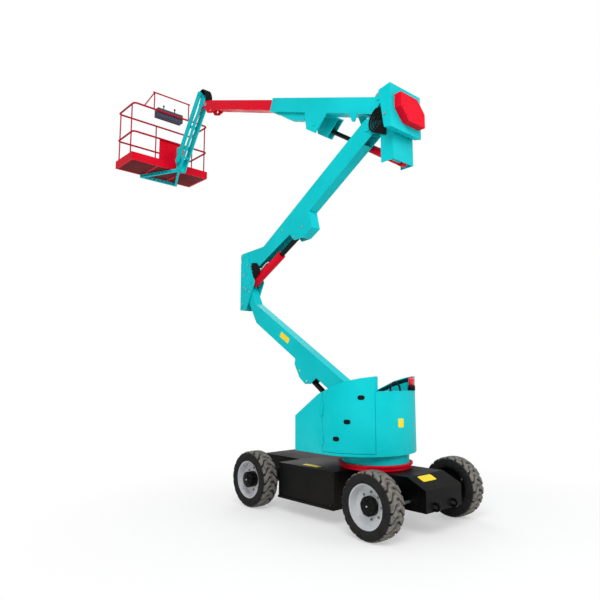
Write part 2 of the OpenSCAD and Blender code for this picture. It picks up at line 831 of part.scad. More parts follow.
module upper_outline() {
    r = boss_r * web_share;
    top = -upper_drop + upper_depth / 2;
    low = -upper_drop - upper_depth / 2;
    polygon([[r / 2, r * heel_share], upper_kink, [upper_l, top], [upper_l, low], [upper_bracket[4][0],
        low],
        upper_heel, [-r, -r / 2]]);
    circle(boss_r);
}
module upper_fork() {
    translate([upper_l, -upper_drop]) circle(upper_depth / 2);
}
module upper_arm() {
    inner_w = upper_w - 2 * arm_wall;
    low = -upper_drop - upper_depth / 2;
    color(teal) back_at(knuckle_top, riser_angle) difference() {
        union() {
            difference() {
                slab(upper_w) union() {
                    upper_outline();
                    upper_fork();
                }
                slab(inner_w) translate([0, -arm_wall]) upper_outline();
                slab(inner_w) translate([upper_l - fork_start, low - cut])
                    square([fork_start + upper_depth, upper_depth + 2 * cut]);
                slab(inner_w) translate([-2 * boss_r, -boss_r - upper_drop])
                    square([4 * boss_r, upper_drop + 3 * boss_r]);
            }
            slab(upper_w - arm_wall) translate([upper_shut, low])
                square([upper_l - fork_start - upper_shut, arm_wall]);
            difference() {
                slab(upper_w - pin_gap) polygon(upper_bracket);
                slab(inner_w) polygon(upper_bracket_core);
            }
            eye_bosses(upper_eye, upper_w / 2 - arm_wall / 2);
        }
        bar([0, 0], pin_d + 2 * pin_gap, upper_w + 2 * cut);
        bar([upper_l, -upper_drop], pin_d + 2 * pin_gap, upper_w + 2 * cut);
    }
}

// Top knuckle: tongue between the forks, rear box and the lift cylinder's pocket
module tongue_outline() {
    r = tongue_r * web_share;
    for (p = [top_pin, boom_pin]) translate(p) circle(tongue_r);
    polygon([boom_pin + [-r, 0], boom_pin + [0, r], top_pin + [r, 0], top_pin + [0, -r],
        top_pin + [box_front_low - cut, box_low + box_wall / 2], top_pin + [box_front - cut,
            box_high / 2]]);
}
module knuckle_box_outline(inset) {
    polygon([top_pin + [box_front_low - inset, box_low + inset], top_pin + [box_front - inset,
        box_high - inset],
        top_pin + [box_rear + inset, box_peak - inset], top_pin + [box_rear + inset,
            box_low - inset_drop + inset]]);
}
module top_knuckle() {
    sub_w = box_w / 2 + sub_in;
    color(teal) {
        plates(tongue_y, tongue_t) tongue_outline();
        difference() {
            slab(box_w) knuckle_box_outline(0);
            slab(box_w - 2 * box_wall) knuckle_box_outline(box_wall);
        }
        difference() {
            union() {
                plate(sub_in - box_wall, box_wall) sub_outline();
                plate(-box_w / 2, box_wall) sub_outline();
                translate([top_pin[0] + sub_rear, -box_w / 2 + cut / 2, top_pin[1] + sub_low])
                    cube([box_wall, sub_w - cut, box_low / 2 - sub_low]);
            }
            slab(box_w - 2 * box_wall) knuckle_box_outline(box_wall);
        }
        headed_pin(top_pin, pin_d, upper_w + side_gap);
        headed_pin(boom_pin, pin_d, boom_w + side_gap);
        translate([main_base_pin[0], (sub_in - box_w / 2) / 2, main_base_pin[1]]) rotate([90, 0, 0])
            cylinder(d = link_pin_d, h = sub_w - cut, center = true);
    }
}
module sub_outline() {
    polygon([top_pin + [sub_front, box_low / 2], top_pin + [sub_rear, box_low / 2], top_pin + [sub_rear,
        sub_low],
        top_pin + [sub_front, sub_low]]);
}
module knuckle_cover() {
    color(red) translate([top_pin[0] + box_rear - lid_t, 0, top_pin[1]]) rotate([90, 0, 90])
        linear_extrude(lid_t)
        polygon([[lid_left, lid_low + lid_cut], [lid_left, lid_high], [lid_right + lid_cut, lid_high],
            [lid_right, lid_high - lid_cut], [lid_right, lid_low], [lid_left - lid_cut, lid_low]]);
}

// Boom
module boom_outline() {
    translate([0, -boom_depth]) square([boom_l, boom_depth]);
    circle(boss_r);
    polygon([[-boom_tail, 0], [0, -boom_depth], [cut, -boom_depth], [cut, 0]]);
}
module main_boom() {
    inner_w = boom_w - 2 * boom_wall;
    color(teal) at(boom_pin, boom_angle) difference() {
        union() {
            difference() {
                slab(boom_w) boom_outline();
                slab(inner_w) translate([boom_start, -boom_depth + boom_wall])
                    square([boom_l, boom_depth - 2 * boom_wall]);
                slab(inner_w - 2 * boom_wall) translate([-2 * boss_r, -boom_depth - cut])
                    square([boom_start + 2 * boss_r - boom_wall, boom_depth + 2 * boss_r]);
            }
            boom_pads();
            main_bracket();
        }
        bar([0, 0], pin_d + 2 * pin_gap, boom_w + 2 * cut);
    }
}
module boom_pads() {
    gap_z = (boom_depth - 2 * boom_wall - fly_depth) / 2 - pin_gap;
    gap_y = (boom_w - 2 * boom_wall - fly_w) / 2 - pin_gap;
    for (s = [-1, 1]) {
        translate([boom_l - pad_l, -fly_w / 4,
            -boom_depth / 2 + s * (boom_depth / 2 - boom_wall - gap_z / 2) - gap_z / 2])
            cube([pad_l, fly_w / 2, gap_z]);
        translate([boom_l - pad_l, s * (boom_w / 2 - boom_wall - gap_y / 2) - gap_y / 2,
            -boom_depth / 2 - fly_depth / 4])
            cube([pad_l, gap_y, fly_depth / 2]);
    }
}
module main_bracket() {
    shelf = main_bracket_side[0][0] - main_bracket_side[3][0];
    plate(boom_w / 2 - bracket_t, bracket_t) polygon(main_bracket_side);
    translate([0, main_y, 0]) plates(eye_w / 2 + eye_gap, bracket_t) polygon(main_bracket_side);
    translate([main_bracket_side[3][0], main_y - eye_w / 2 - eye_gap - bracket_t / 2,
        -boom_depth - bracket_t])
        cube([shelf, -main_y + eye_w / 2 + eye_gap + bracket_t / 2, bracket_t + boom_wall / 2]);
    translate([main_eye[0], boom_w / 2, main_eye[1]]) rotate([90, 0, 0])
        cylinder(r = small_eye_r, h = bracket_t + pin_head_t, center = true);
    slab(hose_box_w) polygon(hose_box);
    plates(small_lug_y, bracket_t) polygon(small_lug);
}
module fly_section() {
    inner = fly_w - 2 * fly_wall;
    color(red) at(boom_pin, boom_angle) translate([fly_reach, 0, -boom_depth / 2]) difference() {
        union() {
            difference() {
                slab(fly_w) translate([-fly_l, -fly_depth / 2]) square([fly_l - tip_r - cut, fly_depth]);
                slab(inner) translate([-fly_l - cut, -fly_depth / 2 + fly_wall])
                    square([fly_l + cut, fly_depth - 2 * fly_wall]);
            }
            plates(fly_w / 2 - tip_cheek_t, tip_cheek_t) {
                circle(tip_r);
                polygon(tip_cheek);
            }
        }
        bar([0, 0], jib_pin_d + 2 * pin_gap, fly_w + 2 * cut);
        bar(tip_hole, tip_hole_d, fly_w + 2 * cut);
    }
}

// Hydraulic cylinders: barrel and rod drawn from the base pin to the eye
function span_l(a, b) = norm(b - a);
function span_angle(a, b) = atan2(b[1] - a[1], b[0] - a[0]);
module barrel(a, b, bore, y, share, pin) {
    l = span_l(a, b);
    translate([0, y, 0]) at(a, span_angle(a, b)) difference() {
        union() {
            rotate([0, 90, 0]) cylinder(d = bore, h = l * share);
            bar([0, 0], bore, min(eye_w, bore));
        }
        translate([bore / 2 + barrel_wall, 0, 0]) rotate([0, 90, 0])
            cylinder(d = bore - 2 * barrel_wall, h = l * share - bore / 2 - 3 * barrel_wall);
        rotate([0, 90, 0]) translate([0, 0, bore]) cylinder(d = bore * rod_share + 2 * pin_gap, h = l);
        bar([0, 0], pin + 2 * pin_gap, bore + 2 * cut);
    }
}
module rod(a, b, bore, y, start, end_r, pin) {
    l = span_l(a, b);
    translate([0, y, 0]) at(a, span_angle(a, b)) difference() {
        union() {
            translate([start, 0, 0]) rotate([0, 90, 0]) cylinder(d = bore * rod_share, h = l - start);
            bar([l, 0], 2 * end_r, eye_w);
        }
        bar([l, 0], pin, eye_w + 2 * cut);
    }
}
function rod_start(bore, retract) = bore / 2 + barrel_wall + retract;
lower_eye_place = lower_pin + turned(riser_angle, lower_eye);
upper_eye_place = knuckle_top + turned_back(riser_angle, upper_eye);
main_eye_place = boom_pin + turned(boom_angle, main_eye);
jib_eye_place = jib_pin + turned(-jib_angle, jib_eye);
module lower_barrel() {
    color(black) barrel(lower_base_pin, lower_eye_place, lower_bore, 0, barrel_share, link_pin_d);
}
module lower_rod() {
    color(steel) rod(lower_base_pin, lower_eye_place, lower_bore, 0, rod_start(lower_bore,
        lower_retract), eye_r, link_pin_d);
}
module upper_barrel() {
    color(red) barrel(knuckle_centre, upper_eye_place, upper_bore, 0, barrel_share, link_pin_d);
}
module upper_rod() {
    color(steel) rod(knuckle_centre, upper_eye_place, upper_bore, 0, rod_start(upper_bore,
        upper_retract), eye_r, link_pin_d);
}
module main_barrel() {
    color(red) barrel(main_base_pin, main_eye_place, main_bore, main_y, barrel_share, link_pin_d);
}
module main_rod() {
    color(steel) rod(main_base_pin, main_eye_place, main_bore, main_y, rod_start(main_bore,
        main_retract), eye_r, link_pin_d);
}
module jib_barrel() {
    color(red) barrel(jib_base_pin, jib_eye_place, jib_bore, 0, jib_barrel_share, jib_pin_d);
}
module jib_rod() {
    color(steel) rod(jib_base_pin, jib_eye_place, jib_bore, 0, rod_start(jib_bore, jib_retract),
        small_eye_r, jib_pin_d);
}

// Jib
module tip_bracket() {
    w = 2 * (jib_bar_y - side_gap);
    r = jib_boss_r;
    color(teal) {
        plates(w / 2 - tip_plate_t, tip_plate_t) {
            for (p = [fly_tip, jib_pin, jib_link_pin, jib_base_pin]) translate(p) circle(r);
            polygon([fly_tip + [-r / 2, r / 2], jib_pin + [0, r * web_share], jib_pin + [r / 2, 0],
                jib_base_pin + [r / 2, 0],
                jib_base_pin + [0, -r / 2], jib_link_pin + [0, -r / 2], jib_link_pin + [-r / 2, 0]]);
        }
        headed_pin(fly_tip, jib_pin_d, fly_w);
        headed_pin(jib_pin, jib_pin_d, jib_w);
        headed_pin(jib_link_pin, jib_pin_d, 2 * (jib_bar_y + jib_bar_w));
        bar(jib_base_pin, jib_pin_d, w - tip_plate_t);
    }
}
module jib() {
    color(teal) at(jib_pin, -jib_angle) difference() {
        union() {
            plates(jib_w / 2 - jib_rail_w, jib_rail_w) strap([0, 0], [jib_l, 0], jib_rail_h / 2);
            plates(eye_w / 2 + eye_gap, jib_w / 2 - jib_rail_w - eye_w / 2 - eye_gap + cut)
                translate(jib_eye) circle(small_eye_r);
            bar([jib_l * jib_brace_share, jib_eye[1]], jib_rail_h / 2, jib_w - cut);
        }
        bar([0, 0], jib_pin_d + 2 * pin_gap, jib_w + 2 * cut);
        bar([jib_l, 0], jib_pin_d + 2 * pin_gap, jib_w + 2 * cut);
    }
}
module jib_link() {
    color(teal) difference() {
        union() {
            plates(jib_bar_y, jib_bar_w) strap(jib_link_pin, jib_link_end, jib_bar_h / 2);
            bar(jib_link_pin + (jib_link_end - jib_link_pin) * jib_brace_share, jib_bar_h / 2,
                2 * jib_bar_y + jib_bar_w);
        }
        bar(jib_link_pin, jib_pin_d + 2 * pin_gap, jib_w);
        bar(jib_link_end, jib_pin_d + 2 * pin_gap, jib_w);
    }
}
module platform_support() {
    w = 2 * (jib_bar_y - side_gap);
    color(teal) {
        slab(w) union() {
            strap(jib_end, jib_link_end, jib_boss_r);
            strap(jib_end, [rotor_x, jib_end[1]], jib_boss_r);
        }
        headed_pin(jib_end, jib_pin_d, jib_w);
        headed_pin(jib_link_end, jib_pin_d, 2 * (jib_bar_y + jib_bar_w));
        translate([rotor_x, 0, rotor_low]) cylinder(d = rotor_d, h = rotor_h);
        translate([rotor_x, 0, rotor_low - rotor_gap - carrier_h])
            cylinder(d = spindle_pin_d, h = carrier_h + cut);
    }
}
module platform_carrier() {
    near = [carrier_reach, carrier_half];
    far = [carrier_reach, -carrier_half];
    color(teal) translate([rotor_x, 0, rotor_low - rotor_gap - carrier_h]) difference() {
        linear_extrude(carrier_h) difference() {
            union() {
                circle(rotor_d / 2);
                web([0, 0], near, carrier_w / 2);
                web([0, 0], far, carrier_w / 2);
                translate([carrier_reach - carrier_w / 2, -carrier_half - carrier_w / 2])
                    square([carrier_w, 2 * carrier_half + carrier_w]);
            }
            circle(spindle_pin_d / 2 + pin_gap);
        }
        for (y = [-carrier_half + hole_pitch : hole_pitch : carrier_half - hole_pitch / 2])
            translate([carrier_reach, y, carrier_h / 2]) rotate([0, 90, 0])
                cylinder(d = hole_d, h = carrier_w + 2 * cut, center = true);
        for (p = [near, far]) rotate(atan2(p[1], p[0]))
            for (x = [rotor_d + hole_pitch : hole_pitch : norm(p) - hole_pitch])
            translate([x, 0, carrier_h / 2]) rotate([90, 0, 0])
                cylinder(d = hole_d, h = carrier_w + 2 * cut, center = true);
    }
}
module platform_floor() {
    color(red) translate([platform_rear, platform_shift - platform_w / 2, floor_z]) {
        difference() {
            cube([platform_d, platform_w, toe_h]);
            translate([toe_t, toe_t, floor_plate_t])
                cube([platform_d - 2 * toe_t, platform_w - 2 * toe_t, toe_h]);
        }
    }
}
module platform_rails() {
    x0 = platform_rear + rail_inset;
    x1 = platform_rear + platform_d - rail_inset;
    y1 = platform_w / 2 - rail_inset;
    color(red) translate([0, platform_shift, 0]) {
        for (x = [x0 + rail_bend + post_tube, x1 - rail_bend - post_tube], y = [-y1, y1]) rail_post(x, y);
        rail_post(x1, 0);
        rail_hoop(x0, floor_z + rail_h);
        for (z = [floor_z + rail_h, floor_z + rail_h * mid_rail_share]) rail_loop(x0, x1, y1, z);
    }
}
// A post from the floor to the top rail
module rail_post(x, y) {
    translate([x, y, floor_z + floor_plate_t]) cylinder(d = post_tube, h = rail_h - floor_plate_t);
}
// A hoop over the rear rail, with a leaning stay
module rail_hoop(x, z) {
    for (y = [guard_left, guard_right]) translate([x, y, z])
        cylinder(d = post_tube * web_share, h = guard_up);
    translate([x, guard_right - guard_tube, z + guard_up]) rotate([-90, 0, 0])
        cylinder(d = guard_tube, h = guard_left - guard_right + 2 * guard_tube);
    translate([x, guard_left + guard_lean, z]) rotate([atan2(guard_lean, guard_up), 0, 0])
        cylinder(d = post_tube * web_share, h = norm([guard_lean, guard_up]));
}
// The panel below the controls
module platform_panel() {
    color(red) translate([platform_rear + rail_inset + rail_tube / 2, platform_shift + panel_right,
        floor_z + floor_plate_t])
        cube([panel_t, panel_left - panel_right, rail_h * mid_rail_share - floor_plate_t]);
}
// A closed rail with rounded corners
module rail_loop(x0, x1, y1, z) {
    for (y = [-y1, y1]) translate([x0 + rail_bend, y, z]) rotate([0, 90, 0])
        cylinder(d = rail_tube, h = x1 - x0 - 2 * rail_bend);
    for (x = [x0, x1]) translate([x, -y1 + rail_bend, z]) rotate([-90, 0, 0])
        cylinder(d = rail_tube, h = 2 * y1 - 2 * rail_bend);
    for (c = [[x1 - rail_bend, y1 - rail_bend, 0], [x0 + rail_bend, y1 - rail_bend, 90],
        [x0 + rail_bend, -y1 + rail_bend, 180], [x1 - rail_bend, -y1 + rail_bend, 270]])
        translate([c[0], c[1], z]) rotate(c[2]) rotate_extrude(angle = 90)
            translate([rail_bend, 0]) circle(d = rail_tube);
}
module console() {
    color(grey) translate([platform_rear + rail_inset + rail_tube / 2 + 2 * panel_t,
        platform_shift + console_shift - console_w / 2, floor_z + rail_h + console_rise - console_h])
        cube([console_d, console_w, console_h]);
}

chassis_frame();
battery_boxes();
batteries();
drive_axle();
steer_axle();
slew_ring();
steer_rod();
drive_tyre_left();
drive_rim_left();
drive_tyre_right();
drive_rim_right();
steer_knuckle_left();
steer_tyre_left();
steer_rim_left();
steer_knuckle_right();
steer_tyre_right();
steer_rim_right();
turntable();
counterweight();
front_covers();
rear_cover();
beacon();
door_left();
door_right();
lower_arm();
lower_barrel();
lower_rod();
middle_knuckle();
upper_arm();
upper_barrel();
upper_rod();
top_knuckle();
knuckle_cover();
main_boom();
main_barrel();
main_rod();
fly_section();
tip_bracket();
jib();
jib_link();
jib_barrel();
jib_rod();
platform_support();
platform_carrier();
platform_floor();
platform_rails();
platform_panel();
console();
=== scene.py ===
import json
import math
import bmesh
import bpy
import numpy as np
from mathutils import Matrix, Vector


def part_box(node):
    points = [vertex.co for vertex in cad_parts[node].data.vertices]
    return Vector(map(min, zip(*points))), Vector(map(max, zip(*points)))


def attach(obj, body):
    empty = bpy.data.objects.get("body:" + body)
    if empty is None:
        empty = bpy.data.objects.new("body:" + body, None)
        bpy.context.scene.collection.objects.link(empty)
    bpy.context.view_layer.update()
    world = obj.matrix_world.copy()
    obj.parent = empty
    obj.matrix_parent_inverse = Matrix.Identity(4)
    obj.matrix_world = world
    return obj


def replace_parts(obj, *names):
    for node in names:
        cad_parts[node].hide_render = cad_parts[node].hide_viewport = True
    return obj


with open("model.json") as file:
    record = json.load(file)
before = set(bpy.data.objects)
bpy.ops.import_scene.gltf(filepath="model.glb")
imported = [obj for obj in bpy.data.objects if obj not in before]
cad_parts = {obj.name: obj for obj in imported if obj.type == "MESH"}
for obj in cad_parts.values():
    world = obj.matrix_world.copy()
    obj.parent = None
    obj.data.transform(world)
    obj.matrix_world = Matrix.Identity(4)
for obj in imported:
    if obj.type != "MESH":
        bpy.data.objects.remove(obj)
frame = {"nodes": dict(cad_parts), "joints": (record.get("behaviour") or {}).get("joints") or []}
nodes = frame["nodes"]
pins = {j["name"]: np.array(j["pos_m"]) for j in frame["joints"] if "pos_m" in j}
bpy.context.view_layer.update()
print("frame loaded:", len(nodes), "nodes")

axisX, axisY, axisZ = np.eye(3)
bothSides = (("left", 1), ("right", -1))
wheels = [(end, side, sign) for side, sign in bothSides for end in ("drive", "steer")]


# colours and finishes

screenCurve = 2.2


def fromScreen(red, green, blue):
    # screen value to linear light: (value / 255) ^ 2.2
    return tuple((np.array([red, green, blue]) / 255.0) ** screenCurve) + (1.0,)


shades = {
    "teal": fromScreen(0, 190, 196),
    "red": fromScreen(218, 4, 40),
    "railRed": fromScreen(178, 8, 44),
    # dark red for painted shade under the platform
    "shadeRed": fromScreen(104, 4, 24),
    "black": fromScreen(9, 10, 12),
    "rubber": fromScreen(20, 20, 22),
    "lugDust": fromScreen(132, 128, 122),
    "rim": fromScreen(200, 204, 208),
    "steel": fromScreen(186, 190, 194),
    "yellow": fromScreen(246, 214, 20),
    "slate": fromScreen(58, 66, 84),
    "cable": fromScreen(198, 200, 196),
    "dust": fromScreen(148, 138, 122),
    "primer": fromScreen(96, 92, 88),
    "floor": (0.86, 0.86, 0.86, 1.0),
    "white": (1.0, 1.0, 1.0, 1.0),
}


def newGroup(name, inputs, outputs):
    # an empty node group with its sockets: inputs are (label, kind, value), outputs (label, kind)
    group = bpy.data.node_groups.new(name, "ShaderNodeTree")
    for label, kind, value in inputs:
        socket = group.interface.new_socket(label, in_out="INPUT", socket_type=kind)
        socket.default_value = value
    for label, kind in outputs:
        group.interface.new_socket(label, in_out="OUTPUT", socket_type=kind)
    start = group.nodes.new("NodeGroupInput")
    end = group.nodes.new("NodeGroupOutput")
    return group, start, end


def addNode(tree, kind, links=(), **values):
    # one node, its settings, and its inputs: sockets are linked, plain values are set
    node = tree.nodes.new(kind)
    for key, value in values.items():
        setattr(node, key, value)
    for key, value in dict(links).items():
        if isinstance(value, bpy.types.NodeSocket):
            tree.links.new(value, node.inputs[key])
        else:
            node.inputs[key].default_value = value
    return node


def mixColour(tree, mask, first, second):
    # first where the mask is 0, second where it is 1: sockets 6, 7 and 2 are the Mix node's colours
    links = {0: mask, 6: first, 7: second}
    return addNode(tree, "ShaderNodeMix", links, data_type="RGBA").outputs[2]


def ramp(tree, value, low, high, start=0.0, end=1.0):
    # a smooth climb from start to end while the value goes from low to high
    links = {0: value, 1: low, 2: high, 3: start, 4: end}
    return addNode(tree, "ShaderNodeMapRange", links, interpolation_type="SMOOTHSTEP").outputs[0]


def combine(tree, operation, first, second):
    return addNode(tree, "ShaderNodeMath", {0: first, 1: second}, operation=operation).outputs[0]


def noise(tree, place, scale, detail=2.0):
    links = {"Vector": place, "Scale": scale, "Detail": detail}
    return addNode(tree, "ShaderNodeTexNoise", links).outputs["Fac"]


paintLook = {
    "patchScale": 1.6, "patchDetail": 5.0, "spotScale": 34.0, "spotDetail": 8.0, "grainScale": 240.0,
    "dustHeights": (0.1, 1.5), "dustShares": (1.0, 0.12), "dustPatches": (0.4, 0.75),
    "chipEdge": (0.68, 0.71), "chipDepth": -6.0,
    "fadePatches": (0.3, 0.7), "fadeTones": (0.93, 1.05),
    "roughPatches": (0.3, 0.8), "roughShift": (-0.05, 0.18),
}


def paintAgeGroup():
    # paint that fades in patches, gathers dust low down and chips in small spots
    look = paintLook
    group, start, end = newGroup("paintAge", [
        ("Paint", "NodeSocketColor", (0.5, 0.5, 0.5, 1)), ("Dust", "NodeSocketColor", shades["dust"]),
        ("Chip", "NodeSocketColor", shades["primer"]), ("Dust Amount", "NodeSocketFloat", 0.3),
        ("Chip Amount", "NodeSocketFloat", 0.3), ("Roughness", "NodeSocketFloat", 0.35),
    ], [("Color", "NodeSocketColor"), ("Roughness", "NodeSocketFloat"), ("Height", "NodeSocketFloat")])
    given = start.outputs
    place = addNode(group, "ShaderNodeTexCoord").outputs["Object"]
    patches = noise(group, place, look["patchScale"], look["patchDetail"])
    spots = noise(group, place, look["spotScale"], look["spotDetail"])
    grain = noise(group, place, look["grainScale"])
    height = addNode(group, "ShaderNodeSeparateXYZ", {0: place}).outputs["Z"]

    low = ramp(group, height, *look["dustHeights"], *look["dustShares"])
    dusty = combine(group, "MULTIPLY", ramp(group, patches, *look["dustPatches"]), low)
    dusty = combine(group, "MULTIPLY", dusty, given["Dust Amount"])
    chipped = combine(group, "MULTIPLY", ramp(group, spots, *look["chipEdge"]), given["Chip Amount"])

    fade = ramp(group, patches, *look["fadePatches"], *look["fadeTones"])
    tone = addNode(group, "ShaderNodeHueSaturation", {"Color": given["Paint"], "Value": fade})
    colour = mixColour(group, dusty, tone.outputs[0], given["Dust"])
    colour = mixColour(group, chipped, colour, given["Chip"])
    wear = ramp(group, patches, *look["roughPatches"], *look["roughShift"])
    rough = combine(group, "ADD", given["Roughness"], wear)
    sunk = combine(group, "MULTIPLY", chipped, look["chipDepth"])
    tall = combine(group, "ADD", grain, sunk)
    for label, value in (("Color", colour), ("Roughness", rough), ("Height", tall)):
        group.links.new(value, end.inputs[label])
    return group


rubberLook = {
    "mottleScale": 18.0, "mottleDetail": 6.0, "grainScale": 300.0,
    "dustPatches": (0.25, 0.65), "dustShares": (0.45, 1.0),
}


def rubberGroup():
    # rubber that is dusty where the stored mask is high, in a mottle of small patches
    look = rubberLook
    group, start, end = newGroup("rubberDust", [
        ("Rubber", "NodeSocketColor", shades["rubber"]), ("Dust", "NodeSocketColor", shades["lugDust"]),
        ("Mask", "NodeSocketFloat", 0.0), ("Amount", "NodeSocketFloat", 0.8),
    ], [("Color", "NodeSocketColor"), ("Height", "NodeSocketFloat")])
    given = start.outputs
    place = addNode(group, "ShaderNodeTexCoord").outputs["Object"]
    mottle = noise(group, place, look["mottleScale"], look["mottleDetail"])
    patches = ramp(group, mottle, *look["dustPatches"], *look["dustShares"])
    mask = combine(group, "MULTIPLY", patches, given["Mask"])
    mask = combine(group, "MULTIPLY", mask, given["Amount"])
    group.links.new(mixColour(group, mask, given["Rubber"], given["Dust"]), end.inputs["Color"])
    group.links.new(noise(group, place, look["grainScale"]), end.inputs["Height"])
    return group


paintAge = paintAgeGroup()
rubberDust = rubberGroup()

bumpReach = 0.002
shaderInputs = {
    "shine": "Specular IOR Level", "metal": "Metallic", "coat": "Coat Weight", "roughness": "Roughness",
}


def newMaterial(name, group, values, bump=0.02, **surface):
    # a material whose colour, roughness and bump come from an aging group
    material = bpy.data.materials.new(name)
    material.use_nodes = True
    tree = material.node_tree
    shader = tree.nodes["Principled BSDF"]
    aged = addNode(tree, "ShaderNodeGroup", node_tree=group)
    for key, value in values.items():
        aged.inputs[key].default_value = value
    tree.links.new(aged.outputs["Color"], shader.inputs["Base Color"])
    if "Roughness" in aged.outputs:
        tree.links.new(aged.outputs["Roughness"], shader.inputs["Roughness"])
    links = {"Height": aged.outputs["Height"], "Strength": bump, "Distance": bumpReach}
    tree.links.new(addNode(tree, "ShaderNodeBump", links).outputs[0], shader.inputs["Normal"])
    for key, value in surface.items():
        shader.inputs[shaderInputs[key]].default_value = value
    return material


def painted(name, shade, dust, chip, rough, **surface):
    values = {"Paint": shades[shade], "Dust Amount": dust, "Chip Amount": chip, "Roughness": rough}
    return newMaterial(name, paintAge, values, **surface)


def tyreMaterial():
    # dusty rubber: the dust lies where the mesh's own lugTop attribute is high
    material = newMaterial("tyreRubber", rubberDust, {"Amount": 0.85}, bump=0.3, roughness=0.85, shine=0.2)
    tree = material.node_tree
    mask = addNode(tree, "ShaderNodeAttribute", attribute_name="lugTop")
    aged = next(n for n in tree.nodes if n.type == "GROUP")
    tree.links.new(mask.outputs["Fac"], aged.inputs["Mask"])
    return material


finish = {
    "teal": painted("tealPaint", "teal", dust=0.1, chip=0.12, rough=0.4, shine=0.09),
    "red": painted("redPaint", "red", dust=0.1, chip=0.16, rough=0.42, shine=0.09),
    "railRed": painted("railPaint", "railRed", dust=0.1, chip=0.25, rough=0.4, shine=0.14),
    # painted shade: the platform underside's red made darker
    "shadeRed": painted("undersidePaintedShade", "shadeRed", dust=0.2, chip=0.2, rough=0.55, shine=0.1),
    "black": painted("chassisPaint", "black", dust=0.03, chip=0.12, rough=0.42, shine=0.1),
    "rim": painted("rimPaint", "rim", dust=0.35, chip=0.3, rough=0.42),
    "steel": painted("bareSteel", "steel", dust=0.1, chip=0.2, rough=0.3, metal=0.9),
    "chrome": painted("chromedRod", "steel", dust=0.04, chip=0.0, rough=0.12, metal=1.0),
    # near black: painted shade on the lift rods, the own dark colour of the bolts and levers
    "darkRod": painted("darkRod", "black", dust=0.05, chip=0.05, rough=0.3, shine=0.2),
    "yellow": painted("yellowPlate", "yellow", dust=0.2, chip=0.2, rough=0.45),
    "slate": painted("consolePlastic", "slate", dust=0.2, chip=0.1, rough=0.55),
    "hose": painted("hoseRubber", "rubber", dust=0.1, chip=0.0, rough=0.55, shine=0.15),
    "cable": painted("cableSleeve", "cable", dust=0.2, chip=0.1, rough=0.6),
    "block": painted("castBlock", "primer", dust=0.4, chip=0.4, rough=0.7),
    "lamp": painted("lampLens", "red", dust=0.0, chip=0.0, rough=0.1, coat=0.6),
    "tyre": tyreMaterial(),
}

wornBy = {
    "teal": "turntable front_covers rear_cover door_left door_right lower_arm middle_knuckle upper_arm "
            "top_knuckle main_boom tip_bracket jib jib_link platform_support platform_carrier",
    "red": "slew_ring knuckle_cover fly_section upper_barrel main_barrel jib_barrel platform_floor "
           "platform_panel",
    "railRed": "platform_rails",
    "black": "chassis_frame battery_boxes drive_axle steer_axle steer_knuckle_left steer_knuckle_right "
             "lower_barrel",
    "rim": "drive_rim_left drive_rim_right steer_rim_left steer_rim_right",
    "steel": "steer_rod",
    # the lift rods are near black as painted shade, for the shadow they lie in
    "darkRod": "lower_rod upper_rod main_rod",
    "chrome": "jib_rod",
    "slate": "console",
    "block": "batteries counterweight",
    "tyre": "drive_tyre_left drive_tyre_right steer_tyre_left steer_tyre_right",
    "lamp": "beacon",
}
for look, names in wornBy.items():
    for name in names.split():
        nodes[name].data.materials.clear()
        nodes[name].data.materials.append(finish[look])

for end, side, sign in wheels:
    # the back of a rim is painted dark, partly painted shade inside the wheel and partly black paint:
    # every face inward of the wheel's middle
    rim = nodes[f"{end}_rim_{side}"].data
    rim.materials.append(finish["black"])
    middles = np.empty(3 * len(rim.polygons), np.float32)
    rim.polygons.foreach_get("center", middles)
    outward = sign * (middles.reshape(-1, 3)[:, 1] - pins[f"{end}_wheel_{side}_spin"][1])
    rim.polygons.foreach_set("material_index", (outward < 0).astype(np.int32))
print("finishes set:", len(finish))


# surfaces

weldGap = 1e-6  # points nearer than this become one


def gridFaces(rows, columns, wrapRows, wrapColumns):
    # each cell of a grid of points becomes one four-sided face
    r, c = np.meshgrid(np.arange(rows if wrapRows else rows - 1),
                       np.arange(columns if wrapColumns else columns - 1), indexing="ij")
    r2, c2 = (r + 1) % rows, (c + 1) % columns
    corners = [r * columns + c, r2 * columns + c, r2 * columns + c2, r * columns + c2]
    return np.stack(corners, -1).reshape(-1, 4)


def gridPiece(name, points, body, look, wrapRows=False, wrapColumns=True, smooth=True, mask=None):
    # a grid of points made a closed mesh, with its poles welded and its faces turned outwards
    faces = gridFaces(*points.shape[:2], wrapRows, wrapColumns)
    mesh = bpy.data.meshes.new(name)
    mesh.from_pydata(points.reshape(-1, 3).tolist(), [], faces.tolist())
    if mask is not None:
        layer = mesh.attributes.new("lugTop", "FLOAT", "POINT")
        layer.data.foreach_set("value", mask.astype(np.float32).ravel())
    work = bmesh.new()
    work.from_mesh(mesh)
    bmesh.ops.remove_doubles(work, verts=work.verts, dist=weldGap)
    bmesh.ops.recalc_face_normals(work, faces=work.faces)
    work.to_mesh(mesh)
    work.free()
    mesh.polygons.foreach_set("use_smooth", np.full(len(mesh.polygons), smooth))
    mesh.materials.append(finish[look])
    piece = bpy.data.objects.new(name, mesh)
    bpy.context.scene.collection.objects.link(piece)
    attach(piece, body)
    return piece


def circle(count):
    # angles evenly round a full turn
    return np.linspace(0, 2 * math.pi, count, endpoint=False)


def unit(vector):
    return np.asarray(vector, float) / np.linalg.norm(vector)


steepest = 0.9  # past this upward share an axis counts as upright


def frameFor(axis):
    # an axis and two directions across it
    axis = unit(axis)
    side = unit(np.cross(axis, axisZ if abs(axis[2]) < steepest else axisX))
    return axis, side, np.cross(axis, side)


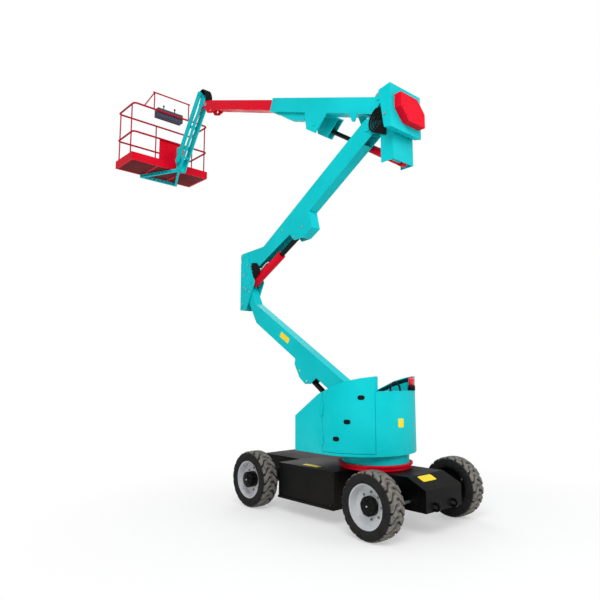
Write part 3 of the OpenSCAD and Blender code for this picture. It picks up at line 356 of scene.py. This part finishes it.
def turned(name, centre, axis, profile, body, look, sides=32, smooth=True):
    # a profile of (radius, height) points turned about an axis: centre + axis*h + r*(cos, sin)
    axis, side, other = frameFor(axis)
    radius, height = np.array(profile, float).T
    angle = circle(sides)[:, None]
    ring = np.cos(angle) * side + np.sin(angle) * other
    points = np.asarray(centre) + height[:, None, None] * axis + radius[:, None, None] * ring
    return gridPiece(name, points, body, look, smooth=smooth)


plateEdge = {
    "around": 64,
    "shares": (0.0, 0.94, 1.0, 1.0, 0.0),  # of the outline, from the face to the back
    "lifts": (1.0, 1.0, 0.7, -1.0, -1.0),  # of the thickness
}


def plateOn(name, centre, along, outward, size, thick, body, look, squareness=10.0):
    # a thin plate with a superellipse outline: |u/a|^n + |v/b|^n = 1, with a small edge round
    outward = unit(outward)
    along = unit(np.asarray(along, float) - np.dot(along, outward) * outward)
    across = np.cross(outward, along)
    angle = circle(plateEdge["around"])
    c, s = np.cos(angle), np.sin(angle)
    u = np.sign(c) * np.abs(c) ** (2 / squareness) * size[0] / 2
    v = np.sign(s) * np.abs(s) ** (2 / squareness) * size[1] / 2
    flat = u[:, None] * along + v[:, None] * across
    share = np.array(plateEdge["shares"])[:, None, None]
    lift = np.array(plateEdge["lifts"])[:, None, None] * thick
    points = np.asarray(centre) + share * flat + lift * outward
    return gridPiece(name, points, body, look, smooth=False)


def curveThrough(points, steps):
    # Catmull-Rom: a cubic between each pair of points, its slope set by their neighbours
    p = np.asarray(points, float)
    q = np.vstack([2 * p[0] - p[1], p, 2 * p[-1] - p[-2]])
    t = np.linspace(0, len(p) - 1, steps)
    k = np.minimum(t.astype(int), len(p) - 2)
    f = (t - k)[:, None]
    a, b, c, d = q[k], q[k + 1], q[k + 2], q[k + 3]
    square, cube = 2 * a - 5 * b + 4 * c - d, 3 * b - a - 3 * c + d
    return 0.5 * (2 * b + (c - a) * f + square * f ** 2 + cube * f ** 3)


def hose(name, points, radius, body, look="hose", steps=72, sides=14, across=axisY):
    # a circle carried along a curve: path + r*(cos*n + sin*m), closed at both ends
    path = curveThrough(points, steps)
    tangent = np.gradient(path, axis=0)
    tangent /= np.linalg.norm(tangent, axis=1)[:, None]
    n = np.cross(tangent, across)
    n /= np.linalg.norm(n, axis=1)[:, None]
    m = np.cross(tangent, n)
    path, n, m = (np.vstack([row[:1], row, row[-1:]]) for row in (path, n, m))
    size = np.concatenate([[0.0], np.full(steps, radius), [0.0]])
    angle = circle(sides)[None, :, None]
    ring = np.cos(angle) * n[:, None] + np.sin(angle) * m[:, None]
    return gridPiece(name, path[:, None] + size[:, None, None] * ring, body, look)


def smoothStep(value, low, high):
    # 3t^2 - 2t^3, where t goes from 0 to 1 between low and high
    t = np.clip((value - low) / (high - low), 0, 1)
    return t * t * (3 - 2 * t)


boltHead = {"tall": 0.34, "chamferFrom": 0.8, "crown": 0.86}  # shares of size, height and radius


def bolt(name, centre, outward, size, body, look="steel"):
    # a six-sided head with a chamfer, set on its seat
    r, h = size / 2, size * boltHead["tall"]
    profile = [(0, 0), (r, 0), (r, h * boltHead["chamferFrom"]), (r * boltHead["crown"], h), (0, h)]
    return turned(name, centre, outward, profile, body, look, sides=6, smooth=False)


def boltPair(name, x, z, lowY, highY, size, body):
    # one head on each side face, the left one first
    for side, y in ((1, highY), (-1, lowY)):
        bolt(f"{name}_{side}", (x, y, z), side * axisY, size, body)


def ringSpots(centre, count, first, second):
    # places round an ellipse: centre + first*cos + second*sin
    angle = circle(count)[:, None]
    return centre + np.cos(angle) * first + np.sin(angle) * second


# tyres with block lugs

tyre = {
    "radius": 0.35, "width": 0.24, "bead": 0.2322, "cornerSide": 0.42, "cornerTop": 0.3,
    "around": 560, "across": 54,
    "lugs": 19, "groove": 0.02, "skew": 0.62, "bend": 0.16, "stagger": 0.5, "lugEdge": (0.2, 0.31),
    "ribEdge": (0.16, 0.24), "zigzagAt": 0.1, "zigzagSwing": 0.08, "zigzagEdge": (0.03, 0.06),
    "grooveRise": (0.72, 0.86), "dustRise": (0.8, 0.93), "wallDust": 0.06,
}


def tyreSurface(centre):
    # squared half circle: y = -w/2*cos(s)^a, r = bead + (R-bead)*sin(s)^b, sunk between the lugs
    s = np.linspace(0, math.pi, tyre["across"])
    halfWidth = tyre["width"] / 2
    y = -np.sign(np.cos(s)) * np.abs(np.cos(s)) ** tyre["cornerSide"] * halfWidth
    rise = np.sin(s).clip(0) ** tyre["cornerTop"]
    theta = circle(tyre["around"])[:, None]
    half = np.abs(y) / halfWidth

    # lugs counted round the wheel, one side half a lug behind the other
    count = theta * tyre["lugs"] / (2 * math.pi) + tyre["stagger"] * (y > 0) - tyre["skew"] * half
    count = count + tyre["bend"] * np.sin(half * 2 * math.pi)
    gap = np.abs((count % 1.0) - 0.5) * 2
    lug = smoothStep(gap, *tyre["lugEdge"])
    centreRib = 1 - smoothStep(half, *tyre["ribEdge"])
    weave = tyre["zigzagAt"] + tyre["zigzagSwing"] * np.sin(theta * tyre["lugs"])
    zigzag = smoothStep(np.abs(half - weave), *tyre["zigzagEdge"])
    top = np.maximum(lug, centreRib * zigzag)

    depth = tyre["groove"] * (1 - top) * smoothStep(rise, *tyre["grooveRise"])
    radius = tyre["bead"] + (tyre["radius"] - tyre["bead"]) * rise - depth
    flat = np.broadcast_to(y, radius.shape)
    rings = np.stack([radius * np.cos(theta), flat, radius * np.sin(theta)], -1)
    dusty = np.clip(top * smoothStep(rise, *tyre["dustRise"]) + tyre["wallDust"], 0, 1)
    return rings + centre, dusty


for end, side, sign in wheels:
    points, dusty = tyreSurface(pins[f"{end}_wheel_{side}_spin"])
    piece = gridPiece(f"{end}_lug_tyre_{side}", points, f"{end}_wheel_{side}", "tyre",
                      wrapRows=True, mask=dusty)
    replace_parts(piece, f"{end}_tyre_{side}")
print("tyres treaded")

hub = {
    "drive": {"radius": 0.097, "tall": 0.1215}, "steer": {"radius": 0.101, "tall": 0.0715},
    "start": 0.024, "chamfer": 0.006, "step": 0.008, "crown": 0.016,
    "stepOuter": 0.62, "stepInner": 0.58, "crownInner": 0.3,  # shares of the radius
    "bolts": 8, "boltRing": 0.72, "boltSize": 0.02,
}
for end, side, sign in wheels:
    body, centre, out = f"{end}_wheel_{side}", pins[f"{end}_wheel_{side}_spin"], sign * axisY
    r, tall = hub[end]["radius"], hub[end]["tall"]
    face, crown = tall + hub["chamfer"], tall + hub["crown"]
    drum = [(0, hub["start"]), (r, hub["start"]), (r, tall), (r - hub["chamfer"], face),
            (hub["stepOuter"] * r, tall + hub["step"]), (hub["stepInner"] * r, crown),
            (hub["crownInner"] * r, crown), (0, crown)]
    turned(f"{end}_hub_{side}", centre, out, drum, body, "black")
    bolt(f"{end}_hub_plug_{side}", centre + crown * out, out, hub["boltSize"], body, "steel")
    ring = hub["boltRing"] * r
    for k, spot in enumerate(ringSpots(centre + face * out, hub["bolts"], ring * axisX, ring * axisZ)):
        bolt(f"{end}_hub_bolt_{side}_{k}", spot, out, hub["boltSize"], body, "darkRod")

nuts = {"count": 8, "ring": 0.1375, "seat": 0.0165, "size": 0.027}
for end, side, sign in wheels:
    body, out = f"{end}_wheel_{side}", sign * axisY
    seat = pins[f"{end}_wheel_{side}_spin"] + nuts["seat"] * out
    spots = ringSpots(seat, nuts["count"], nuts["ring"] * axisX, nuts["ring"] * axisZ)
    for k, spot in enumerate(spots):
        bolt(f"{end}_nut_{side}_{k}", spot, out, nuts["size"], body, "block")
print("hubs set")


# turret: latches, plate, beacon, cable loop

tail = {"centre": (0.21, 0.0), "radius": 0.66}


def onTail(angle, height, side=1):
    # a point on the turret's round tail, counted from its side toward the back
    a = math.radians(angle)
    outward = np.array([-math.sin(a), side * math.cos(a), 0.0])
    return np.array([*tail["centre"], height]) + tail["radius"] * outward, outward


latch = {
    "spots": ((41.4, 1.43), (27.1, 1.155), (15.1, 0.959)),  # angle round the tail, height
    "cupSize": (0.054, 0.082), "cupThick": 0.004, "cupSquareness": 2.6,
    "leverSize": (0.02, 0.054), "leverThick": 0.005, "leverLift": 0.004, "leverSquareness": 3.0,
}
for label, side in bothSides:
    for k, (angle, height) in enumerate(latch["spots"]):
        spot, outward = onTail(angle, height, side)
        body = f"side_door_{label}"
        plateOn(f"latch_cup_{label}_{k}", spot, axisZ, outward, latch["cupSize"], latch["cupThick"],
                body, "hose", squareness=latch["cupSquareness"])
        spot = spot + latch["leverLift"] * outward
        plateOn(f"latch_lever_{label}_{k}", spot, axisZ, outward, latch["leverSize"], latch["leverThick"],
                body, "darkRod", squareness=latch["leverSquareness"])

tailPlate = {"angle": 84.7, "height": 1.136, "size": (0.1, 0.085), "thick": 0.002}
spot, outward = onTail(tailPlate["angle"], tailPlate["height"])
plateOn("tail_plate", spot, axisZ, outward, tailPlate["size"], tailPlate["thick"], "turret", "yellow")

# shares of the lamp's radius and height
beacon = {
    "baseEdge": 0.3, "baseTop": 0.36, "baseCrown": 0.86, "lens": 0.8, "shoulder": 0.7, "domeSteps": 10,
}
low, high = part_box("beacon")
lampAt = np.array([(low.x + high.x) / 2, (low.y + high.y) / 2, low.z])
lampR, lampH = (high.x - low.x) / 2, high.z - low.z
baseTop, lensR, shoulder = beacon["baseTop"] * lampH, beacon["lens"] * lampR, beacon["shoulder"] * lampH
base = [(0, 0), (lampR, 0), (lampR, beacon["baseEdge"] * lampH), (beacon["baseCrown"] * lampR, baseTop),
        (0, baseTop)]
turned("beacon_base", lampAt, axisZ, base, "turret", "hose")
domeAngle = np.linspace(0, math.pi / 2, beacon["domeSteps"])[1:]
dome = [(0, baseTop), (lensR, baseTop), (lensR, shoulder)]
dome += list(zip(lensR * np.cos(domeAngle), shoulder + (lampH - shoulder) * np.sin(domeAngle)))
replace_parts(turned("beacon_lens", lampAt, axisZ, dome, "turret", "lamp"), "beacon")

cableLoop = {
    "radius": 0.012,
    "route": ((-0.4, 0.0, 1.49), (-0.4, 0.02, 1.56), (-0.39, 0.09, 1.6), (-0.39, 0.16, 1.56),
              (-0.4, 0.18, 1.49)),
}
hose("tail_cable_loop", cableLoop["route"], cableLoop["radius"], "turret", across=axisX)
print("turret dressed")


# chassis plates and bolts

boxTrim = {
    "plateAt": (0.52, 0.57), "plateSize": (0.26, 0.08), "plateThick": 0.002,
    "boltInset": (0.04, 0.05), "boltSize": 0.026,
}
low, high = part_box("battery_boxes")
plateX, plateY = boxTrim["plateAt"]
insetX, insetZ = boxTrim["boltInset"]
for label, side in bothSides:
    plateOn(f"box_plate_{label}", (plateX, side * plateY, high.z), axisX, axisZ,
            boxTrim["plateSize"], boxTrim["plateThick"], "chassis", "yellow")
    for x in (low.x + insetX, high.x - insetX):
        for z in (low.z + insetZ, high.z - insetZ):
            bolt(f"box_bolt_{side}_{x:.2f}_{z:.2f}", (x, side * high.y, z), side * axisY,
                 boxTrim["boltSize"], "chassis", "darkRod")

rearTrim = {
    "plateAt": (-0.793, 0.071, 0.57), "plateFacing": (-0.431, 0.0, 0.902),
    "plateSize": (0.24, 0.1), "plateThick": 0.002,
    "boltSides": (-0.24, 0.24), "boltDrop": 0.05, "boltSize": 0.03,
}
low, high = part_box("chassis_frame")
plateOn("rear_plate", rearTrim["plateAt"], axisY, rearTrim["plateFacing"], rearTrim["plateSize"],
        rearTrim["plateThick"], "chassis", "yellow")
for y in rearTrim["boltSides"]:
    bolt(f"rear_bolt_{y}", (low.x, y, high.z - rearTrim["boltDrop"]), -axisX, rearTrim["boltSize"],
         "chassis", "darkRod")
print("chassis dressed")


# arms: plate, hoses, bolts

armPlate = {"at": (1.62, 2.22), "rise": 32, "size": (0.22, 0.08), "thick": 0.0015}
low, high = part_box("lower_arm")
x, z = armPlate["at"]
rise = math.radians(armPlate["rise"])
armLine = np.array([math.cos(rise), 0, math.sin(rise)])
plateOn("arm_plate", (x, high.y, z), armLine, axisY, armPlate["size"], armPlate["thick"],
        "arm_one", "yellow")

# hoses that lie along the upper cylinder, lower toward its sides
kneeHoses = {
    "radius": 0.011, "offset": 0.078, "droop": 0.5, "sides": (-0.034, -0.01, 0.014, 0.038),
    "along": (0.06, 0.14, 0.26, 0.38, 0.46), "rise": (0.0, 0.02, 0.012, 0.02, 0.0),
}
barrelBase = pins["lift_two_swing"]
barrelLine = next(np.array(j["axis"]) for j in frame["joints"] if j["name"] == "lift_two_stroke")
barrelUp = np.array([-barrelLine[2], 0, barrelLine[0]])
barrelUp = barrelUp * np.sign(barrelUp[2])
for k, y in enumerate(kneeHoses["sides"]):
    bed = kneeHoses["offset"] - abs(y) * kneeHoses["droop"]
    path = [barrelBase + t * barrelLine + (bed + up) * barrelUp + y * axisY
            for t, up in zip(kneeHoses["along"], kneeHoses["rise"])]
    hose(f"knee_hose_{k}", path, kneeHoses["radius"], "lift_two_barrel", "cable" if k % 2 else "hose")

bundles = {
    "top_hose": {
        "body": "top", "radius": 0.013, "count": 6, "shrink": 0.15, "heart": (-0.36, 0.117, 4.84),
        "route": ((0.0, 0.18), (0.16, 0.19), (0.26, 0.06), (0.22, -0.07), (0.0, -0.18)),
    },
    "knee_loop": {
        "body": "mid", "radius": 0.008, "count": 10, "shrink": 0.09, "heart": (2.41, 0.0905, 3.31),
        "route": ((0.0, 0.12), (-0.12, 0.1), (-0.2, 0.0), (-0.14, -0.09), (0.0, -0.11)),
    },
}
for name, bundle in bundles.items():
    # each hose runs inside the last, drawn in toward the heart of the loop
    for k in range(bundle["count"]):
        share = 1 - bundle["shrink"] * k
        path = [np.array(bundle["heart"]) + share * np.array([x, 0, z]) for x, z in bundle["route"]]
        hose(f"{name}_{k}", path, bundle["radius"], bundle["body"])

headHoses = {
    "radius": 0.0145, "count": 5, "halfWidth": 0.058,
    "route": ((3.95, 6.72), (3.94, 6.86), (3.985, 6.975), (4.06, 7.035), (4.14, 7.03), (4.18, 6.985)),
}
places = np.linspace(-headHoses["halfWidth"], headHoses["halfWidth"], headHoses["count"])
for k, y in enumerate(places):
    path = [(x, y, z) for x, z in headHoses["route"]]
    hose(f"jib_head_hose_{k}", path, headHoses["radius"], "tip")

kneePlate = {
    "halfWidth": 0.1, "boltSize": 0.032,
    "spots": ((2.66, 3.6), (2.5, 3.42), (2.606, 3.272), (2.6, 3.06), (2.63, 2.8), (2.45, 2.98)),
}
for k, (x, z) in enumerate(kneePlate["spots"]):
    boltPair(f"knee_plate_bolt_{k}", x, z, -kneePlate["halfWidth"], kneePlate["halfWidth"],
             kneePlate["boltSize"], "mid")

armBolts = {
    "arm_one": {"node": "lower_arm", "size": 0.034, "spots": ((1.286, 1.739), (1.142, 1.595))},
    "arm_two": {"node": "upper_arm", "size": 0.034,
                "spots": ((1.674, 3.826), (1.408, 3.678), (1.221, 3.8))},
}
for body, row in armBolts.items():
    low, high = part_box(row["node"])
    for k, (x, z) in enumerate(row["spots"]):
        boltPair(f"{body}_bolt_{k}", x, z, low.y, high.y, row["size"], body)

kneePins = {"joints": ("mid_level", "arm_two_fold"), "boltSize": 0.03}
low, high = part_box("middle_knuckle")
for name in kneePins["joints"]:
    x, _, z = pins[name]
    boltPair(f"{name}_bolt", x, z, low.y, high.y, kneePins["boltSize"], "mid")

boxBolts = {"spots": ((-0.503, 4.817), (-0.4, 5.088)), "size": 0.034}
low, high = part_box("top_knuckle")
for side, edge in ((1, high.y), (-1, low.y)):
    for k, (x, z) in enumerate(boxBolts["spots"]):
        bolt(f"box_side_bolt_{side}_{k}", (x, edge, z), side * axisY, boxBolts["size"], "top")

lidBolts = {"count": 8, "ring": 0.4, "size": 0.02}
low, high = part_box("knuckle_cover")
middle = np.array([low.x, (low.y + high.y) / 2, (low.z + high.z) / 2])
ringY, ringZ = lidBolts["ring"] * (high.y - low.y), lidBolts["ring"] * (high.z - low.z)
for k, spot in enumerate(ringSpots(middle, lidBolts["count"], ringY * axisY, ringZ * axisZ)):
    bolt(f"lid_bolt_{k}", spot, -axisX, lidBolts["size"], "top", "red")
print("arms dressed")


# platform underside and controls

# painted shade under the platform: a deep red plate over each of its three bays
bays = {"count": 3, "edge": 0.04, "thick": 0.0015, "squareness": 40.0}
low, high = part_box("platform_floor")
pitch = (high.y - low.y - bays["edge"]) / bays["count"]
baySize = (high.x - low.x - 2 * bays["edge"], pitch - bays["edge"])
for k in range(bays["count"]):
    spot = ((low.x + high.x) / 2, low.y + bays["edge"] / 2 + (k + 0.5) * pitch, low.z)
    plateOn(f"underside_shade_bay_{k}", spot, axisX, -axisZ, baySize, bays["thick"], "platform", "shadeRed",
            squareness=bays["squareness"])

consoleTop = {"inset": 0.01, "thick": 0.002, "squareness": 24.0}
low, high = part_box("console")
topSize = (high.y - low.y - consoleTop["inset"], high.x - low.x - consoleTop["inset"])
plateOn("console_top", ((low.x + high.x) / 2, (low.y + high.y) / 2, high.z), axisY, axisZ, topSize,
        consoleTop["thick"], "platform", "cable", squareness=consoleTop["squareness"])


def onDeck(back, share):
    # a place on the console's top, by its shares of the depth and the width
    return ((1 - back) * low.x + back * high.x, low.y + share * (high.y - low.y),
            high.z + consoleTop["thick"])


stick = {
    "shares": (0.28, 0.72), "back": 0.45, "tall": 0.11,
    "boot": ((0, 0), (0.034, 0), (0.03, 0.012), (0.012, 0.03)),  # radius, height
    "grip": ((0.008, 0.6), (0.016, 0.7), (0.018, 0.9), (0.01, 1), (0, 1)),  # radius, share of tall
}
stickProfile = [*stick["boot"], *((r, share * stick["tall"]) for r, share in stick["grip"])]
for k, share in enumerate(stick["shares"]):
    turned(f"stick_{k}", onDeck(stick["back"], share), axisZ, stickProfile, "platform", "hose")

knob = {
    "shares": (0.42, 0.5, 0.58), "back": 0.6, "looks": ("lamp", "cable", "yellow"),
    "profile": ((0, 0), (0.016, 0), (0.016, 0.012), (0.012, 0.018), (0, 0.018)),
}
for k, (share, look) in enumerate(zip(knob["shares"], knob["looks"])):
    turned(f"knob_{k}", onDeck(knob["back"], share), axisZ, knob["profile"], "platform", look)
print("controls dressed")


# floor, light, camera

studio = {
    "floorHalf": 40.0, "floorRoughness": 0.9, "fadeReach": (1.2, 4.6), "fadeShares": (0.45, 1.0),
    "worldLight": 0.57, "aim": (1.2, 0.0, 3.0), "lampSize": 6.0,
    "lamps": {  # place, power
        "keyLamp": ((-5.5, 7.0, 9.0), 860),
        "fillLamp": ((-8.0, -4.0, 6.0), 240),
        "backLamp": ((8.0, -6.0, 9.0), 260),
    },
}


def seenBy(tree, otherRay):
    # 1 on rays from the camera or of one other kind, 0 on the rest
    path = addNode(tree, "ShaderNodeLightPath").outputs
    return combine(tree, "MAXIMUM", path["Is Camera Ray"], path[otherRay])


def floorMaterial():
    # a pale floor that keeps the shadow near the machine and turns plain white far off
    material = bpy.data.materials.new("studioFloor")
    material.use_nodes = True
    tree = material.node_tree
    shader = tree.nodes["Principled BSDF"]
    shader.inputs["Base Color"].default_value = shades["floor"]
    shader.inputs["Roughness"].default_value = studio["floorRoughness"]
    place = addNode(tree, "ShaderNodeTexCoord").outputs["Object"]
    away = addNode(tree, "ShaderNodeVectorMath", {0: place}, operation="LENGTH").outputs["Value"]
    far = ramp(tree, away, *studio["fadeReach"], *studio["fadeShares"])
    plain = combine(tree, "MULTIPLY", far, seenBy(tree, "Is Glossy Ray"))
    glow = addNode(tree, "ShaderNodeEmission", {"Color": shades["white"], "Strength": 1.0})
    mix = addNode(tree, "ShaderNodeMixShader", {0: plain, 1: shader.outputs[0], 2: glow.outputs[0]})
    tree.links.new(mix.outputs[0], tree.nodes["Material Output"].inputs["Surface"])
    return material


half = studio["floorHalf"]
corners = [(-half, -half, 0), (half, -half, 0), (half, half, 0), (-half, half, 0)]
floorMesh = bpy.data.meshes.new("studio_floor")
floorMesh.from_pydata(corners, [], [(0, 1, 2, 3)])
floorMesh.materials.append(floorMaterial())
floor = bpy.data.objects.new("studio_floor", floorMesh)
bpy.context.scene.collection.objects.link(floor)

world = bpy.data.worlds.new("studioSky")
bpy.context.scene.world = world
world.use_nodes = True
tree = world.node_tree
sky = tree.nodes["Background"]
sky.inputs["Color"].default_value = shades["white"]
seen = seenBy(tree, "Is Transmission Ray")
level = addNode(tree, "ShaderNodeMapRange", {0: seen, 3: studio["worldLight"], 4: 1.0})
tree.links.new(level.outputs[0], sky.inputs["Strength"])

for name, (place, power) in studio["lamps"].items():
    lamp = bpy.data.lights.new(name, "AREA")
    lamp.size = studio["lampSize"]
    lamp.energy = power
    holder = bpy.data.objects.new(name, lamp)
    holder.location = place
    facing = Vector(studio["aim"]) - Vector(place)
    holder.rotation_euler = facing.to_track_quat("-Z", "Y").to_euler()
    bpy.context.scene.collection.objects.link(holder)

shot = {
    "lens": 33.19, "sensor": 36.0, "place": (-4.524, 5.279, 1.705), "yaw": -41.86, "pitch": 7.55,
}
lens = bpy.data.cameras.new("photoView")
lens.sensor_width = shot["sensor"]
lens.lens = shot["lens"]
camera = bpy.data.objects.new("photoView", lens)
bpy.context.scene.collection.objects.link(camera)
yaw, pitch = math.radians(shot["yaw"]), math.radians(shot["pitch"])
ahead = Vector((math.cos(pitch) * math.cos(yaw), math.cos(pitch) * math.sin(yaw), math.sin(pitch)))
turn = ahead.to_track_quat("-Z", "Y").to_matrix().to_4x4()
camera.matrix_world = Matrix.Translation(shot["place"]) @ turn
bpy.context.scene.camera = camera
bpy.context.scene.view_settings.view_transform = "Standard"
